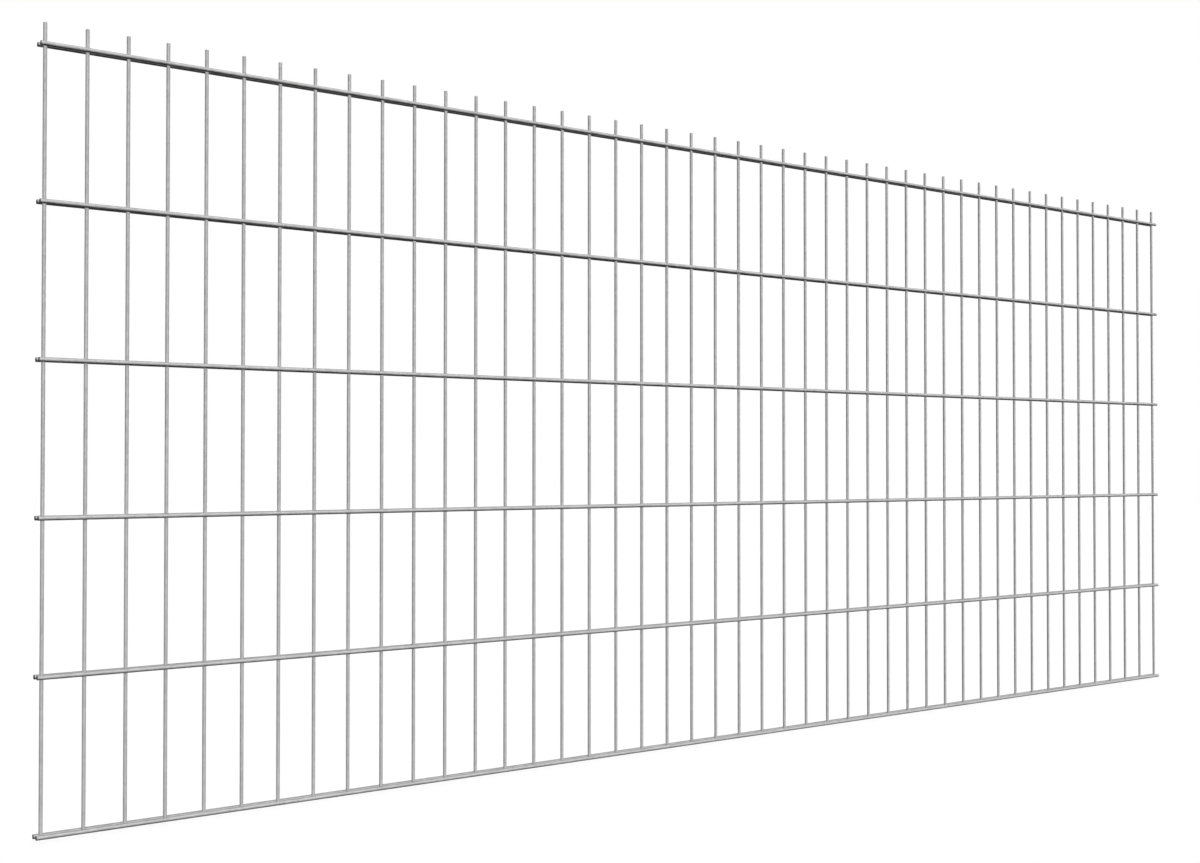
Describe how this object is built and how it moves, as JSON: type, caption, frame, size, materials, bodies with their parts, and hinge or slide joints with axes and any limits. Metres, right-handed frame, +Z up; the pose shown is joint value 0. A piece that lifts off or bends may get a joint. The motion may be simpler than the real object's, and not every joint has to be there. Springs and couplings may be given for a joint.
{
  "type": "welded mesh fence panel",
  "caption": "Galvanised welded mesh fence panel of vertical rods held between paired horizontal rods, with free rod tips along the top edge.",
  "frame": {"origin": "on the ground line under the panel, midway along its length and midway through its thickness", "axes": "+X along the panel to the right as seen from the front, +Y through the panel towards its rear, +Z up"},
  "size_m": [2.49, 0.017, 1.031],
  "materials": {
    "galvanised_steel": "hot-dip galvanised, matte mottled grey"
  },
  "bodies": {
    "root": {"vertical_rod_01": "galvanised_steel", "vertical_rod_02": "galvanised_steel", "vertical_rod_03": "galvanised_steel", "vertical_rod_04": "galvanised_steel", "vertical_rod_05": "galvanised_steel", "vertical_rod_06": "galvanised_steel", "vertical_rod_07": "galvanised_steel", "vertical_rod_08": "galvanised_steel", "vertical_rod_09": "galvanised_steel", "vertical_rod_10": "galvanised_steel", "vertical_rod_11": "galvanised_steel", "vertical_rod_12": "galvanised_steel", "vertical_rod_13": "galvanised_steel", "vertical_rod_14": "galvanised_steel", "vertical_rod_15": "galvanised_steel", "vertical_rod_16": "galvanised_steel", "vertical_rod_17": "galvanised_steel", "vertical_rod_18": "galvanised_steel", "vertical_rod_19": "galvanised_steel", "vertical_rod_20": "galvanised_steel", "vertical_rod_21": "galvanised_steel", "vertical_rod_22": "galvanised_steel", "vertical_rod_23": "galvanised_steel", "vertical_rod_24": "galvanised_steel", "vertical_rod_25": "galvanised_steel", "vertical_rod_26": "galvanised_steel", "vertical_rod_27": "galvanised_steel", "vertical_rod_28": "galvanised_steel", "vertical_rod_29": "galvanised_steel", "vertical_rod_30": "galvanised_steel", "vertical_rod_31": "galvanised_steel", "vertical_rod_32": "galvanised_steel", "vertical_rod_33": "galvanised_steel", "vertical_rod_34": "galvanised_steel", "vertical_rod_35": "galvanised_steel", "vertical_rod_36": "galvanised_steel", "vertical_rod_37": "galvanised_steel", "vertical_rod_38": "galvanised_steel", "vertical_rod_39": "galvanised_steel", "vertical_rod_40": "galvanised_steel", "vertical_rod_41": "galvanised_steel", "vertical_rod_42": "galvanised_steel", "vertical_rod_43": "galvanised_steel", "vertical_rod_44": "galvanised_steel", "vertical_rod_45": "galvanised_steel", "vertical_rod_46": "galvanised_steel", "front_horizontal_rod_1": "galvanised_steel", "rear_horizontal_rod_1": "galvanised_steel", "front_horizontal_rod_2": "galvanised_steel", "rear_horizontal_rod_2": "galvanised_steel", "front_horizontal_rod_3": "galvanised_steel", "rear_horizontal_rod_3": "galvanised_steel", "front_horizontal_rod_4": "galvanised_steel", "rear_horizontal_rod_4": "galvanised_steel", "front_horizontal_rod_5": "galvanised_steel", "rear_horizontal_rod_5": "galvanised_steel", "front_horizontal_rod_6": "galvanised_steel", "rear_horizontal_rod_6": "galvanised_steel"}
  },
  "joints": []
}
